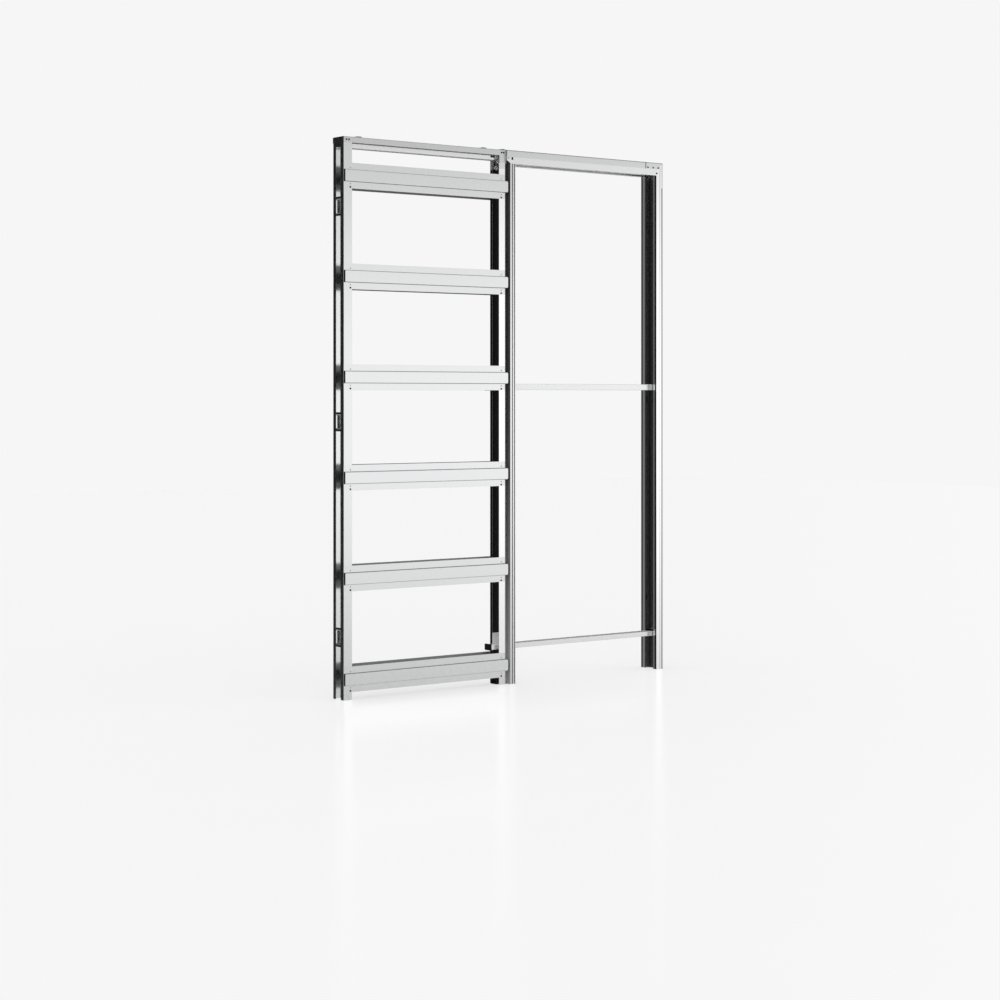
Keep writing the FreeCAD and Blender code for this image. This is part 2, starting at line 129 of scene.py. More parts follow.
def zinc_coated(name, grey, dullness, along, metal=1.0):
    """Zinc-coated strip: crystals set the tone and gloss, lines along the strip and a grain the relief."""
    finish, tree, shader, coordinates = new_finish(name)
    shader.inputs["Metallic"].default_value = metal
    lines = noise(tree, drawn_out(tree, coordinates, along), LINES_PER_METRE)
    mottle = average(tree, crystals(tree, coordinates, CRYSTALS_PER_METRE), lines, LINE_SHARE)
    tinted(tree, mottle, [DARK_CRYSTAL * part for part in grey], grey, shader.inputs["Base Color"])
    ranged(tree, mottle, dullness - ZINC_GLOSS_SPREAD, dullness + ZINC_GLOSS_SPREAD,
           shader.inputs["Roughness"])
    grain = noise(tree, coordinates, GRAIN_PER_METRE)
    raised(tree, average(tree, lines, grain, GRAIN_SHARE), ZINC_RELIEF, shader)
    return finish


def dress(names, finish):
    """The finish on every face of the named pieces."""
    for name in names:
        for held in nodes[name].material_slots:
            held.material = finish


dress(["back_upright_front", "back_upright_rear"],
      zinc_coated("upright_zinc", UPRIGHT_GREY, dullness=0.19, along=ALONG_Z))

# Mouth posts: folded from the same strip, one on each side of the slot that the door slides through,
# each a face for the rails with a box behind it. They stand on the floor under the header. Their ends
# and the sides of the rear one's box are darkened with painted shade.
POST_GREY = (0.99, 0.992, 0.995)
POST_SHADED_ENDS = ((-0.001, 0.045), (2.112, 2.200))
POST_END_SHADE_SHARE = 0.8
POST_SHADED_BOX_SIDES = (0.0236, 0.0358)
POST_BOX_SHADE_SHARE = 0.08


def coordinate(tree, axis):
    """One of the piece's own coordinates."""
    split = tree.nodes.new("ShaderNodeSeparateXYZ")
    tree.links.new(tree.nodes["Texture Coordinate"].outputs["Object"], split.inputs["Vector"])
    return split.outputs[axis]


def between(tree, axis, low, high):
    """1 where one of the piece's own coordinates lies between two values, 0 elsewhere."""
    compare = tree.nodes.new("ShaderNodeMath")
    compare.operation = "COMPARE"
    tree.links.new(coordinate(tree, axis), compare.inputs[0])
    compare.inputs[1].default_value = (low + high) / 2
    compare.inputs[2].default_value = (high - low) / 2
    return compare.outputs["Value"]


def scaled(finish):
    """The socket of a new factor that the finish's tone is multiplied by."""
    tree = finish.node_tree
    socket = tree.nodes["Principled BSDF"].inputs["Base Color"]
    scale = tree.nodes.new("ShaderNodeVectorMath")
    scale.operation = "SCALE"
    tree.links.new(socket.links[0].from_socket, scale.inputs["Vector"])
    tree.links.new(scale.outputs["Vector"], socket)
    return scale.inputs["Scale"]


def painted_shade(finish, axis, low, high, share):
    """Painted shade: the finish with its tone brought down to a share between two values of one coordinate.
    """
    tree = finish.node_tree
    ranged(tree, between(tree, axis, low, high), 1.0, share, scaled(finish))


post_zinc = zinc_coated("post_zinc", POST_GREY, dullness=0.20, along=ALONG_Z)
# Painted shade darkens the posts' ends.
for limits in POST_SHADED_ENDS:
    painted_shade(post_zinc, "Z", *limits, POST_END_SHADE_SHARE)
dress(["mouth_post_front"], post_zinc)
post_rear_shaded_zinc = post_zinc.copy()
post_rear_shaded_zinc.name = "post_rear_shaded_zinc"
# Painted shade darkens the sides of the rear post's box.
painted_shade(post_rear_shaded_zinc, "Y", *POST_SHADED_BOX_SIDES, POST_BOX_SHADE_SHARE)
dress(["mouth_post_rear"], post_rear_shaded_zinc)

# Back clips: dished strips of zinc-coated steel that keep the uprights apart, fixed behind their
# side lips. They are pressed crosswise, so their lines run through the wall.
ALONG_Y = (0, 1, 0)
CLIP_GREY = (0.78, 0.785, 0.79)
dress(["back_clip_bottom", "back_clip_middle", "back_clip_top"],
      zinc_coated("clip_zinc", CLIP_GREY, dullness=0.20, along=ALONG_Y))

# Rails: hat-section strips of zinc-coated steel across both faces of the pocket, which carry the
# wall boards. Each end is fixed by a dark screw in the lower flange and by pressed points beside it.
# Inside the hat the zinc is matt, and darkened with painted shade.
ALONG_X = (1, 0, 0)
FACINGS = {"front": (0, -1, 0), "rear": (0, 1, 0)}
RAIL_COUNT = 6
RAIL_GREY = (0.785, 0.79, 0.795)
RAIL_SHEET = 0.0012
RAIL_INSIDE_SHADE_SHARE = 0.42
RAIL_BACK_INSET = 0.0305
RAIL_MOUTH_INSET = 0.0270
RAIL_SCREW_RISE = 0.0055
RAIL_POINT_RISES = (0.0175, 0.0810)
BLACK_METAL = 0.7
BLACK_CLOUDS_PER_METRE = 420.0
BLACK_GREYS = ((0.012, 0.012, 0.013), (0.045, 0.045, 0.047))
BLACK_GLOSS = (0.34, 0.52)
BLACK_RELIEF = 0.00003
SCREW_RADIUS = 0.0036
SCREW_RISE = 0.0022
SCREW_SINK = 0.0003
SCREW_SECTORS = 32
CROWN_RINGS = np.concatenate([np.linspace(0.0, 0.66, 12), np.linspace(0.74, 1.0, 7)])
CROWN_FALL = 0.55
RECESS_DEPTH = 0.0014
RECESS_ARM = 0.62
RECESS_HALF_WIDTH = 0.17
POINT_RADIUS = 0.0030
POINT_RISE = 0.0006
POINT_RINGS = 9
POINT_SECTORS = 24
MERGE_DISTANCE = 0.000001
SHARP_ANGLE = math.radians(35)


def matted(finish, axis, low, high):
    """The finish without its metal mirror between two values of one coordinate."""
    tree = finish.node_tree
    socket = tree.nodes["Principled BSDF"].inputs["Metallic"]
    ranged(tree, between(tree, axis, low, high), socket.default_value, 0.0, socket)


def blackened(name):
    """Steel blackened in a phosphate bath: near black, with a dull and slightly uneven shine."""
    finish, tree, shader, coordinates = new_finish(name)
    shader.inputs["Metallic"].default_value = BLACK_METAL
    cloud = noise(tree, coordinates, BLACK_CLOUDS_PER_METRE, detail=3.0)
    tinted(tree, cloud, *BLACK_GREYS, shader.inputs["Base Color"])
    ranged(tree, cloud, *BLACK_GLOSS, shader.inputs["Roughness"])
    raised(tree, cloud, BLACK_RELIEF, shader)
    return finish


def grid_faces(rows, columns):
    """Quads between neighbouring rows and columns of a grid that closes on itself across its columns."""
    row, column = np.meshgrid(np.arange(rows - 1), np.arange(columns), indexing="ij")
    after = (column + 1) % columns
    corners = [row * columns + column, row * columns + after,
               (row + 1) * columns + after, (row + 1) * columns + column]
    return np.stack(corners, axis=-1).reshape(-1, 4)


def turned_profile(radii, heights, sectors):
    """A surface of revolution: each pair of radius and height of the profile swept round the axis."""
    turn = np.linspace(0.0, 2.0 * math.pi, sectors, endpoint=False)
    radius = np.asarray(radii)[:, None]
    height = np.repeat(np.asarray(heights)[:, None], sectors, axis=1)
    return np.stack([radius * np.cos(turn), radius * np.sin(turn), height], axis=-1)


def pan_head():
    """A pan-head screw: the height falls from the crown with the fourth power of the radius share,
    a cross-shaped recess is taken from the crown, and the rim goes straight down into the sheet."""
    crown = SCREW_RISE * (1.0 - CROWN_FALL * CROWN_RINGS ** 4)
    radii = SCREW_RADIUS * np.concatenate([CROWN_RINGS, [1.0, 0.0]])
    heights = np.concatenate([crown, [-SCREW_SINK, -SCREW_SINK]])
    head = turned_profile(radii, heights, SCREW_SECTORS)
    across = np.abs(head[..., :2]) / SCREW_RADIUS
    in_cross = (across.min(axis=-1) < RECESS_HALF_WIDTH) & (across.max(axis=-1) < RECESS_ARM)
    on_crown = np.arange(len(radii))[:, None] < len(CROWN_RINGS)
    head[..., 2] -= np.where(in_cross & on_crown, RECESS_DEPTH, 0.0)
    return head


def pressed_point():
    """Two sheets pressed together: a shallow ring, its height a squared sine from middle to edge."""
    share = np.linspace(0.0, 1.0, POINT_RINGS)
    heights = POINT_RISE * np.sin(math.pi * share) ** 2
    radii = np.concatenate([POINT_RADIUS * share, [POINT_RADIUS, 0.0]])
    return turned_profile(radii, np.concatenate([heights, [-SCREW_SINK, -SCREW_SINK]]), POINT_SECTORS)


def set_on(shape, seats, outward):
    """Copies of a shape, its axis along the outward direction, one on each seat."""
    outward = np.asarray(outward, dtype=float)
    sideways = np.cross(outward, ALONG_Z if outward[0] else ALONG_X)
    turn = np.stack([sideways, np.cross(outward, sideways), outward])
    return np.asarray(seats)[:, None, None, :] + shape @ turn


def new_piece(name, copies, finish):
    """One mesh of many like grids of points, with its poles merged, that rides on the frame."""
    count, rows, columns = copies.shape[:3]
    starts = np.arange(count)[:, None, None] * rows * columns
    faces = (grid_faces(rows, columns)[None] + starts).reshape(-1, 4)
    mesh = bpy.data.meshes.new(name)
    mesh.from_pydata(copies.reshape(-1, 3).tolist(), [], faces.tolist())
    work = bmesh.new()
    work.from_mesh(mesh)
    bmesh.ops.remove_doubles(work, verts=work.verts, dist=MERGE_DISTANCE)
    bmesh.ops.recalc_face_normals(work, faces=work.faces)
    work.to_mesh(mesh)
    work.free()
    mesh.shade_smooth()
    mesh.set_sharp_from_angle(angle=SHARP_ANGLE)
    mesh.materials.append(finish)
    piece = bpy.data.objects.new(name, mesh)
    bpy.context.scene.collection.objects.link(piece)
    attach(piece, "root")


def on_both_faces(name, shape, seats, finish, way=1):
    """Copies of a shape on both halves of the wall, facing outward, or the slot where the way is -1. A seat
    is the place along the wall, the distance from the wall's middle and the height."""
    for facing, outward in FACINGS.items():
        placed = [(x, outward[1] * y, z) for x, y, z in seats]
        turned = [way * part for part in outward]
        new_piece("%s_%s" % (name, facing), set_on(shape, placed, turned), finish)


rail_numbers = range(1, RAIL_COUNT + 1)
rail_bottoms = [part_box("rail_front_%d" % number)[0].z for number in rail_numbers]
rail_ends = (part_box("back_upright_front")[0].x + RAIL_BACK_INSET,
             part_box("rail_front_1")[1].x - RAIL_MOUTH_INSET)
stud_face = abs(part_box("mouth_post_front")[0].y)
flange_face = stud_face + RAIL_SHEET
band_face = -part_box("rail_front_1")[0].y
flange_backs = (-stud_face - RAIL_SHEET / 2, stud_face + RAIL_SHEET / 2)
rail_zinc = zinc_coated("rail_zinc", RAIL_GREY, dullness=0.20, along=ALONG_X)
# Painted shade inside the hat: on the backs of the flanges and in the hollow of the band.
painted_shade(rail_zinc, "Y", *flange_backs, RAIL_INSIDE_SHADE_SHARE)
matted(rail_zinc, "Y", *flange_backs)
for side in (-1, 1):
    shaded_hollow = sorted((side * (flange_face + SCREW_SINK), side * (band_face - RAIL_SHEET / 2)))
    painted_shade(rail_zinc, "Y", *shaded_hollow, RAIL_INSIDE_SHADE_SHARE)
dress(["rail_%s_%d" % (facing, number) for facing in FACINGS for number in rail_numbers], rail_zinc)
screw_black = blackened("screw_black")
on_both_faces("rail_screws", pan_head(),
              [(x, flange_face, z + RAIL_SCREW_RISE) for x in rail_ends for z in rail_bottoms], screw_black)
on_both_faces("rail_points", pressed_point(),
              [(x, flange_face, z + rise) for x in rail_ends for z in rail_bottoms
               for rise in RAIL_POINT_RISES], rail_zinc)

# Headers: inverted channels folded from zinc-coated steel sheet, one over the pocket and one over the
# passage. Dark screws fix the pocket's to the uprights and posts. Its end beside the head trim is matt,
# and the top fold of the passage's is darkened with painted shade.
HEADER_GREY = (0.71, 0.715, 0.72)
HEADER_MATT_REACH = 0.0088
HEADER_SCREW_DROP = 0.0117
HEADER_BACK_SCREWS = (0.0122, 0.0238)
HEADER_MOUTH_SCREWS = (0.0203, 0.0100)
PLATE_GREY = (0.75, 0.755, 0.76)
PLATE_SHADED_FOLD = 0.004
PLATE_FOLD_SHADE_SHARE = 0.65
header_low, header_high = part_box("pocket_header")
post_low, post_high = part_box("mouth_post_front")
header_screw_places = ([header_low.x + inset for inset in HEADER_BACK_SCREWS]
                       + [post_high.x - inset for inset in HEADER_MOUTH_SCREWS])
header_zinc = zinc_coated("header_zinc", HEADER_GREY, dullness=0.20, along=ALONG_X)
matted(header_zinc, "X", post_high.x - HEADER_MATT_REACH, header_high.x)
dress(["pocket_header"], header_zinc)
plate_zinc = zinc_coated("plate_zinc", PLATE_GREY, dullness=0.22, along=ALONG_X)
# Painted shade along the top fold of the passage header, which the corner plates share.
painted_shade(plate_zinc, "Z", header_high.z - PLATE_SHADED_FOLD, header_high.z + SCREW_SINK, PLATE_FOLD_SHADE_SHARE)
dress(["passage_header"], plate_zinc)
on_both_faces("header_screws", pan_head(),
              [(x, -header_low.y, header_high.z - HEADER_SCREW_DROP) for x in header_screw_places],
              screw_black)

# Clips on the header, and brackets that tie it to the posts' heads: pressed from zinc-coated steel. The
# upturned plate that ties the posts' feet is given the near-black finish of the screws, and is screwed to
# the floor.
BRACKET_GREY = (0.88, 0.885, 0.89)
dress(["top_clip_1", "top_clip_2", "top_clip_3", "mouth_bracket_front", "mouth_bracket_rear"],
      zinc_coated("bracket_zinc", BRACKET_GREY, dullness=0.24, along=ALONG_Y, metal=0.4))
dress(["mouth_floor_plate"], blackened("plate_black"))

# Track: an extruded aluminium channel with inturned lips, mill finished, with fine die lines along it
# and matt on its inside. It is screwed up into the headers, and at the mouth its sides hold dark screws,
# one of them on a washer.
ALLOY_CLOUDS_PER_METRE = 9.0
ALLOY_SHADE = 0.96
ALLOY_LINE_SHARE = 0.4
ALLOY_GLOSS_SPREAD = (-0.04, 0.05)
ALLOY_RELIEF = 0.000008
TRACK_GREY = (0.955, 0.957, 0.96)
TRACK_INSIDE = (-0.0072, 0.0195)
TRACK_SCREW_DROP = 0.0275
TRACK_SCREWS = (0.0262, 0.0150)
TRACK_SCREW_SCALE = 1.35
WASHER_GREY = (0.98, 0.982, 0.985)
WASHER_RADIUS = 0.0088
WASHER_RISE = 0.0006
WASHER_SCREW_SCALE = 0.7


def extruded(name, grey, dullness, along, metal=1.0):
    """Extruded aluminium: die lines along the piece set the gloss and relief, a slow cloud the tone."""
    finish, tree, shader, coordinates = new_finish(name)
    shader.inputs["Metallic"].default_value = metal
    lines = noise(tree, drawn_out(tree, coordinates, along), LINES_PER_METRE, detail=3.0)
    cloud = noise(tree, coordinates, ALLOY_CLOUDS_PER_METRE, detail=3.0)
    tinted(tree, average(tree, cloud, lines, ALLOY_LINE_SHARE), [ALLOY_SHADE * part for part in grey], grey,
           shader.inputs["Base Color"])
    ranged(tree, lines, *[dullness + spread for spread in ALLOY_GLOSS_SPREAD], shader.inputs["Roughness"])
    raised(tree, lines, ALLOY_RELIEF, shader)
    return finish


def washer():
    """A washer: a flat disc with a slightly rounded edge, whose hole the screw fills."""
    radii = WASHER_RADIUS * np.array([0.0, 0.5, 0.92, 0.98, 1.0, 1.0, 0.0])
    heights = WASHER_RISE * np.array([1.0, 1.0, 1.0, 0.9, 0.7, 0.0, 0.0])
    heights[-2:] = -SCREW_SINK
    return turned_profile(radii, heights, SCREW_SECTORS)


track_alloy = extruded("track_alloy", TRACK_GREY, dullness=0.13, along=ALONG_X, metal=0.8)
matted(track_alloy, "Y", *TRACK_INSIDE)
dress(["track"], track_alloy)
track_low, track_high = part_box("track")
track_level = track_high.z - TRACK_SCREW_DROP
on_both_faces("track_screws", TRACK_SCREW_SCALE * pan_head(),
              [(post_low.x - inset, -track_low.y, track_level) for inset in TRACK_SCREWS], screw_black)
washer_zinc = zinc_coated("washer_zinc", WASHER_GREY, dullness=0.40, along=ALONG_X, metal=0.0)
on_both_faces("track_washers", washer(), [(post_low.x, -track_low.y, track_level)], washer_zinc)
on_both_faces("track_washer_screws", WASHER_SCREW_SCALE * pan_head(),
              [(post_low.x, WASHER_RISE - track_low.y, track_level)], screw_black)

# Mouth trims: grooved aluminium extrusions screwed against the posts, each with a channel that takes the
# edge of a wall board. Inside the channel the metal is matt, with painted shade that is lighter near the
# floor.
TRIM_GREY = (0.76, 0.762, 0.765)
TRIM_WALL = 0.002
BOARD_CHANNEL = 0.016
CHANNEL_FOOT_SHADE_SHARE = 0.78
CHANNEL_HEAD_SHADE_SHARE = 0.12
FLOOR_LIGHT_REACH = 1.5


def painted_shade_upward(finish, axis, low, high, foot_share, head_share, reach):
    """Painted shade on the finish between two values of one coordinate. Its share falls from the floor's to
    the head's with the square of what is left of the height that the floor's light reaches."""
    tree = finish.node_tree
    left = tree.nodes.new("ShaderNodeMapRange")
    left.inputs["From Max"].default_value = reach
    left.inputs["To Min"].default_value = 1.0
    left.inputs["To Max"].default_value = 0.0
    tree.links.new(coordinate(tree, "Z"), left.inputs["Value"])
    square = tree.nodes.new("ShaderNodeMath")
    square.operation = "MULTIPLY"
    for factor in (0, 1):
        tree.links.new(left.outputs["Result"], square.inputs[factor])
    zone = tree.nodes.new("ShaderNodeMapRange")
    zone.inputs["To Min"].default_value = 1.0
    tree.links.new(between(tree, axis, low, high), zone.inputs["Value"])
    ranged(tree, square.outputs["Value"], head_share, foot_share, zone.inputs["To Max"])
    tree.links.new(zone.outputs["Result"], scaled(finish))


trim_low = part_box("mouth_trim_front")[0]
channel = (trim_low.x - TRIM_WALL, trim_low.x + BOARD_CHANNEL + TRIM_WALL / 4)
trim_alloy = extruded("trim_alloy", TRIM_GREY, dullness=0.16, along=ALONG_Z)
# Painted shade in the board channel, lighter towards the floor.
painted_shade_upward(trim_alloy, "X", *channel, CHANNEL_FOOT_SHADE_SHARE, CHANNEL_HEAD_SHADE_SHARE, FLOOR_LIGHT_REACH)
matted(trim_alloy, "X", *channel)
dress(["mouth_trim_front", "mouth_trim_rear"], trim_alloy)

# Slot linings: black plastic strips along both sides of the slot, over the joint between post and trim,
# with a pale band of painted highlight near the foot. Above each strip the post has a screw on a washer.
PLASTIC_GRAIN_PER_METRE = 1500.0
PLASTIC_CLOUDS_PER_METRE = 60.0
PLASTIC_GREYS = ((0.003, 0.003, 0.003), (0.008, 0.008, 0.0085))
PLASTIC_GLOSS = (0.42, 0.56)
PLASTIC_SHINE = 0.2
PLASTIC_RELIEF = 0.00005
LINING_HIGHLIGHT_BAND = (0.163, 0.2075)
LINING_HIGHLIGHT_TONE = (0.9, 0.9, 0.9)
LINING_SCREW_INSET = 0.0186
LINING_SCREW_RISE = 0.0095


def moulded(name):
    """Black moulded plastic with a finely eroded skin."""
    finish, tree, shader, coordinates = new_finish(name)
    skin = noise(tree, coordinates, PLASTIC_GRAIN_PER_METRE)
    cloud = noise(tree, coordinates, PLASTIC_CLOUDS_PER_METRE)
    tinted(tree, cloud, *PLASTIC_GREYS, shader.inputs["Base Color"])
    ranged(tree, cloud, *PLASTIC_GLOSS, shader.inputs["Roughness"])
    shader.inputs["Specular IOR Level"].default_value = PLASTIC_SHINE
    raised(tree, skin, PLASTIC_RELIEF, shader)
    return finish


def recoloured(finish, axis, low, high, tone):
    """The finish with another tone added between two values of one coordinate."""
    tree = finish.node_tree
    socket = tree.nodes["Principled BSDF"].inputs["Base Color"]
    blend = tree.nodes.new("ShaderNodeVectorMath")
    blend.operation = "MULTIPLY_ADD"
    blend.inputs[1].default_value = tone
    tree.links.new(between(tree, axis, low, high), blend.inputs[0])
    tree.links.new(socket.links[0].from_socket, blend.inputs[2])
    tree.links.new(blend.outputs["Vector"], socket)


lining_plastic = moulded("lining_plastic")
# A pale tone added near the foot: a painted highlight.
recoloured(lining_plastic, "Z", *LINING_HIGHLIGHT_BAND, LINING_HIGHLIGHT_TONE)
dress(["mouth_lining_front", "mouth_lining_rear"], lining_plastic)
lining_low, lining_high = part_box("mouth_lining_front")
lining_seat = (lining_low.x + LINING_SCREW_INSET, -lining_low.y, lining_high.z + LINING_SCREW_RISE)
on_both_faces("lining_washers", washer(), [lining_seat], washer_zinc, way=-1)
on_both_faces("lining_screws", WASHER_SCREW_SCALE * pan_head(), [lining_seat], screw_black, way=-1)

# Head trims: aluminium extrusions over the passage, hung behind the header's flange, against which the
# boards above the door end. A black sheet behind the slot in each is painted shade for the slot.
HEAD_GREY = (0.88, 0.882, 0.885)
HEAD_SHADE_SHEET_WIDTH = 0.014
HEAD_SHADE_SHEET_HEIGHT = 0.012
HEAD_SHADE_SHEET_INSET = 0.0270
HEAD_SHADE_SHEET_RISE = 0.0210
HEAD_SHADE_SHEET_DEPTH = 0.0036
SHADE_SHEET_THICKNESS = 0.002
SHADE_SHEET_POINTS = 48


def slot_shade_sheet(width, height):
    """A flat sheet behind a slot, which stands as painted shade in it: an outline with the fourth powers of
    its two coordinates adding up to one, drawn in to the middle on both sides."""
    turn = np.linspace(0.0, 2.0 * math.pi, SHADE_SHEET_POINTS, endpoint=False)
    across = width / 2 * np.sign(np.cos(turn)) * np.sqrt(np.abs(np.cos(turn)))
    upward = height / 2 * np.sign(np.sin(turn)) * np.sqrt(np.abs(np.sin(turn)))
    share = np.array([0.0, 1.0, 1.0, 0.0])[:, None]
    level = np.repeat(SHADE_SHEET_THICKNESS * np.array([0.0, 0.0, -1.0, -1.0])[:, None], SHADE_SHEET_POINTS, axis=1)
    return np.stack([share * across, share * upward, level], axis=-1)


dress(["head_trim_front", "head_trim_rear"],
      extruded("head_alloy", HEAD_GREY, dullness=0.20, along=ALONG_X))
head_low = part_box("head_trim_front")[0]
black_plastic = moulded("black_plastic")
# Black sheets behind the slots in the head trims: painted shade.
on_both_faces("head_slot_shades", slot_shade_sheet(HEAD_SHADE_SHEET_WIDTH, HEAD_SHADE_SHEET_HEIGHT),
              [(head_low.x + HEAD_SHADE_SHEET_INSET, -head_low.y - HEAD_SHADE_SHEET_DEPTH, head_low.z + HEAD_SHADE_SHEET_RISE)],
              black_plastic)

# Strike jamb: an aluminium extrusion with a channel for the door's edge, cut to a mitre at the top and
# screwed to the wall through three slots, with black sheets behind them as painted shade. The throat of
# the channel, the nose of the front lip, the rear of the web and the strip at the wall get painted shade.
JAMB_GREY = (0.93, 0.932, 0.935)
JAMB_SHADED_THROAT = (0.0243, 0.0295)
JAMB_SHADED_NOSE = (-0.0485, -0.0385)
JAMB_THROAT_AND_NOSE_SHADE_SHARE = 0.2
JAMB_SHADE = (0.0180, 0.0243)
JAMB_SHADE_SHARE = 0.5
JAMB_SHADED_STRIP = 0.0089
JAMB_STRIP_SHADE_SHARE = 0.35
JAMB_WEB_BACK = 0.0085
JAMB_SLOT_LEVELS = (0.307, 1.165, 1.927)
JAMB_SHADE_SHEET_WIDTH = 0.020
JAMB_SHADE_SHEET_HEIGHT = 0.038
jamb_low, jamb_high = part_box("strike_jamb")
jamb_alloy = extruded("jamb_alloy", JAMB_GREY, dullness=0.14, along=ALONG_Z)
# Painted shade in the channel's throat, on the front lip's nose, on the rear of the web and on the strip at
# the wall.
for limits in (JAMB_SHADED_THROAT, JAMB_SHADED_NOSE):
    painted_shade(jamb_alloy, "Y", *limits, JAMB_THROAT_AND_NOSE_SHADE_SHARE)
painted_shade(jamb_alloy, "Y", *JAMB_SHADE, JAMB_SHADE_SHARE)
painted_shade(jamb_alloy, "X", jamb_high.x - JAMB_SHADED_STRIP, jamb_high.x + TRIM_WALL, JAMB_STRIP_SHADE_SHARE)
dress(["strike_jamb"], jamb_alloy)
# Black sheets behind the three slots: painted shade.
jamb_shade_sheet_seats = [(jamb_high.x - JAMB_WEB_BACK, 0.0, level) for level in JAMB_SLOT_LEVELS]
new_piece("jamb_slot_shades", set_on(slot_shade_sheet(JAMB_SHADE_SHEET_WIDTH, JAMB_SHADE_SHEET_HEIGHT), jamb_shade_sheet_seats, (-1, 0, 0)),
          black_plastic)

# Corner plates: angles pressed from the header's zinc-coated steel, flush with it, each with a leg down
# the jamb. Dark screws fix them to both.
CORNER_SCREW_INSETS = (0.0105, 0.0405, 0.0695)
CORNER_SCREW_DROP = 0.0205
JAMB_SCREW_INSET = 0.0025
JAMB_SCREW_DROP = 0.0440
corner_low, corner_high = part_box("corner_plate_front")
corner_seats = [(corner_low.x + inset, -corner_low.y, corner_high.z - CORNER_SCREW_DROP)
                for inset in CORNER_SCREW_INSETS]
jamb_seat = (jamb_low.x + JAMB_SCREW_INSET, -jamb_low.y, jamb_high.z - JAMB_SCREW_DROP)
# The passage header's finish, with its painted shade along the top fold.
dress(["corner_plate_front", "corner_plate_rear"], plate_zinc)
on_both_faces("corner_screws", pan_head(), corner_seats + [jamb_seat], screw_black)

# Spacer bars and their caps: light steel tubes that keep the passage parallel until the frame is
# built in, pushed into the slot, with moulded black ends in the pocket and in the strike channel.
SPACER_GREY = (0.93, 0.935, 0.94)
SPACER_SLEEVE = 0.003
SPACER_END_SHADE_SHARE = 0.05
spacer_zinc = zinc_coated("spacer_zinc", SPACER_GREY, dullness=0.22, along=ALONG_X, metal=0.5)
# Painted shade darkens the tubes where they run into the strike channel.
painted_shade(spacer_zinc, "X", jamb_low.x + SPACER_SLEEVE, jamb_high.x, SPACER_END_SHADE_SHARE)
dress(["spacer_bottom", "spacer_middle"], spacer_zinc)
dress(["spacer_%s_%s_cap" % (level, end) for level in ("bottom", "middle") for end in ("mouth", "strike")],
      black_plastic)

# Studio floor: a wide board, painted white and slightly glossy, on which the frame stands. The metal
# doesn't mirror it, and in the picture it fades into the white surround.
FLOOR_REACH = 17.0
FLOOR_DROP = 0.0002
FLOOR_CLOUDS_PER_METRE = 3.0
FLOOR_GREYS = ((0.416, 0.416, 0.416), (0.424, 0.424, 0.424))
FLOOR_GLOSS = (0.16, 0.18)
FLOOR_SHINE = 0.18
FLOOR_LIFT = 0.718


def floor_sheet():
    """A flat square: two parameters from end to end of its sides, at one height."""
    side = np.linspace(-FLOOR_REACH, FLOOR_REACH, 2)
    x, y = np.meshgrid(side, side, indexing="ij")
    corners = np.stack([x, y, np.full_like(x, -FLOOR_DROP)], axis=-1).reshape(-1, 3)
    mesh = bpy.data.meshes.new("floor")
    mesh.from_pydata(corners.tolist(), [], [(0, 2, 3, 1)])
    return mesh


def floor_white():
    """White painted floor with an even, soft shine. The camera sees it lifted to the surround's white."""
    finish, tree, shader, coordinates = new_finish("floor_white")
    cloud = noise(tree, coordinates, FLOOR_CLOUDS_PER_METRE)
    tinted(tree, cloud, *FLOOR_GREYS, shader.inputs["Base Color"])
    shader.inputs["Specular IOR Level"].default_value = 0.0
    shader.inputs["Emission Color"].default_value = (1.0, 1.0, 1.0, 1.0)
    seen = tree.nodes.new("ShaderNodeLightPath").outputs["Is Camera Ray"]
    ranged(tree, seen, 0.0, FLOOR_LIFT, shader.inputs["Emission Strength"])
    shine = tree.nodes.new("ShaderNodeBsdfGlossy")
    ranged(tree, cloud, *FLOOR_GLOSS, shine.inputs["Roughness"])
    blend = tree.nodes.new("ShaderNodeMixShader")
    blend.inputs["Fac"].default_value = FLOOR_SHINE
    tree.links.new(shader.outputs["BSDF"], blend.inputs[1])
    tree.links.new(shine.outputs["BSDF"], blend.inputs[2])
    tree.links.new(blend.outputs["Shader"], tree.nodes["Material Output"].inputs["Surface"])
    return finish


floor = bpy.data.objects.new("floor", floor_sheet())
floor.data.materials.append(floor_white())
floor.visible_glossy = False
bpy.context.scene.collection.objects.link(floor)

# Studio tent: cloth hung round the frame, which only glossy surfaces see. It has bright panels in front
# and on the right, dark cloth on the left and behind the camera, and an even roof and ground.
TENT_RADIUS = 25.0
TENT_COLUMNS = 181
TENT_ROWS = 151
TENT_FOOT = -60.0
TENT_TOP = 90.0
TENT_BEARINGS = (0, 8, 18, 30, 45, 60, 90, 120, 134, 139, 142, 150, 156, 170, 186, 196,
                 208, 230, 244, 264, 276, 284, 292, 304, 318, 321, 330, 340, 350, 360)
TENT_GLOWS = (0.2, 0.2, 0.08, 0.06, 0.06, 0.3, 0.9, 1.35, 1.40, 1.25, 1.16, 1.16, 1.16, 1.6, 1.6, 0.3,
              0.022, 0.022, 0.4, 0.4, 0.14, 0.24, 0.12, 0.09, 0.11, 0.004, 0.004, 0.02, 0.10, 0.2)
BAND_BEARINGS = (100, 125, 160, 190)
BAND_MIDDLE = 2.4
BAND_SPREAD = 13.5
APRON_GLOW = 1.0
APRON_BEARINGS = (15, 28, 55, 70)
APRON_EDGE = (-3.5, -2.0)
ROOF_GLOW = 0.6
ROOF_EDGE = (22.0, 34.0)
GROUND_GLOW = 0.6
GROUND_EDGE = (-14.0, -11.5)
RISE = (0.0, 1.0)
FALL = (1.0, 0.0)


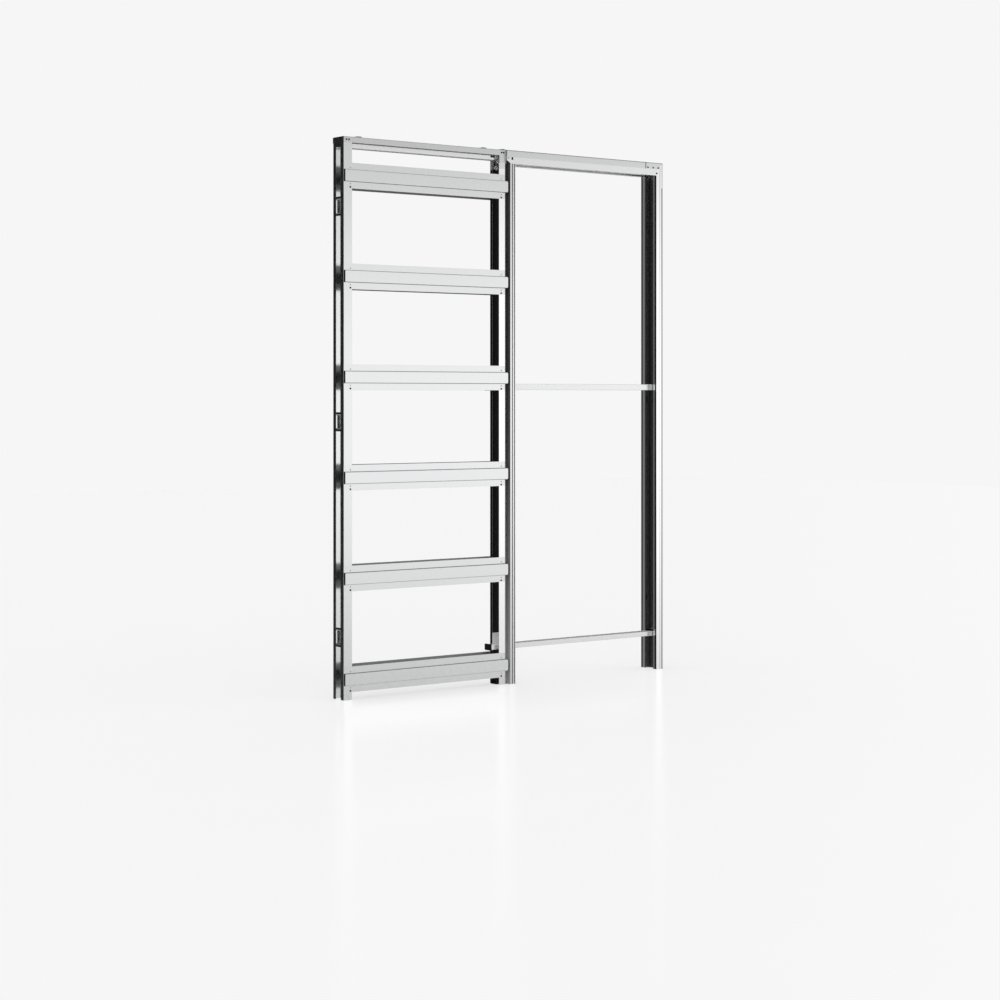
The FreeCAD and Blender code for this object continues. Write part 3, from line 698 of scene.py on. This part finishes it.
def tent_wall(bearings, heights):
    """A sphere round the frame, from bearings in degrees clockwise from +Y and heights in degrees."""
    turn = np.radians(bearings)
    rise = np.radians(heights)
    directions = [np.cos(rise) * np.sin(turn), np.cos(rise) * np.cos(turn), np.sin(rise)]
    return TENT_RADIUS * np.stack(directions, axis=-1)


def tent_glow(bearings, heights):
    """Brightness of the tent: set by the bearing, and in front on the right also by a bell curve of the
    height about the horizon. Behind on the right an apron lies below the horizon. Higher and lower it all
    passes into an even roof and ground."""
    round_glow = np.interp(bearings, TENT_BEARINGS, TENT_GLOWS)
    band = np.exp(-((heights - BAND_MIDDLE) / BAND_SPREAD) ** 2)
    in_band = np.interp(bearings, BAND_BEARINGS, RISE + FALL)
    wall = round_glow * (1.0 - in_band + in_band * band)
    in_apron = np.interp(bearings, APRON_BEARINGS, RISE + FALL) * np.interp(heights, APRON_EDGE, FALL)
    wall = wall * (1.0 - in_apron) + APRON_GLOW * in_apron
    in_roof = np.interp(heights, ROOF_EDGE, RISE)
    in_ground = np.interp(heights, GROUND_EDGE, FALL)
    return wall * (1.0 - in_roof - in_ground) + ROOF_GLOW * in_roof + GROUND_GLOW * in_ground


def tent_cloth():
    """Cloth that gives off the brightness kept in the mesh's own attribute."""
    finish = bpy.data.materials.new("tent_cloth")
    finish.use_nodes = True
    finish.cycles.emission_sampling = "NONE"
    tree = finish.node_tree
    tree.nodes.remove(tree.nodes["Principled BSDF"])
    light = tree.nodes.new("ShaderNodeEmission")
    pattern = tree.nodes.new("ShaderNodeAttribute")
    pattern.attribute_name = "glow"
    tree.links.new(pattern.outputs["Fac"], light.inputs["Strength"])
    tree.links.new(light.outputs["Emission"], tree.nodes["Material Output"].inputs["Surface"])
    return finish


bearings, heights = np.meshgrid(np.linspace(0.0, 360.0, TENT_COLUMNS),
                                np.linspace(TENT_FOOT, TENT_TOP, TENT_ROWS))
tent_mesh = bpy.data.meshes.new("tent")
tent_mesh.from_pydata(tent_wall(bearings, heights).reshape(-1, 3).tolist(), [],
                      grid_faces(TENT_ROWS, TENT_COLUMNS).tolist())
glow = tent_mesh.attributes.new("glow", "FLOAT", "POINT")
glow.data.foreach_set("value", tent_glow(bearings, heights).ravel().astype(np.float32))
tent_mesh.materials.append(tent_cloth())
tent = bpy.data.objects.new("tent", tent_mesh)
tent.visible_camera = False
tent.visible_diffuse = False
tent.visible_shadow = False
bpy.context.scene.collection.objects.link(tent)

# Surround and camera: an even white all round lights the frame softly. The camera stands level, in front
# and to the left of the pocket, with its lens shifted down so that upright edges stay upright.
WHITE = 0.922
CAMERA_PLACE = (-5.4794, -7.0913, 1.17695)
CAMERA_TURN = -37.5455
SENSOR_WIDTH = 36.0
LENS = 78.27
LENS_SHIFT = -0.10286
surround = bpy.data.worlds.new("surround")
surround.use_nodes = True
surround.node_tree.nodes["Background"].inputs["Color"].default_value = (WHITE, WHITE, WHITE, 1.0)
surround.node_tree.nodes["Background"].inputs["Strength"].default_value = 1.0
bpy.context.scene.world = surround
bpy.context.scene.view_settings.view_transform = "Standard"
camera_data = bpy.data.cameras.new("camera")
camera_data.sensor_width = SENSOR_WIDTH
camera_data.lens = LENS
camera_data.shift_y = LENS_SHIFT
camera = bpy.data.objects.new("camera", camera_data)
camera.location = CAMERA_PLACE
camera.rotation_euler = (math.radians(90.0), 0.0, math.radians(CAMERA_TURN))
bpy.context.scene.collection.objects.link(camera)
bpy.context.scene.camera = camera
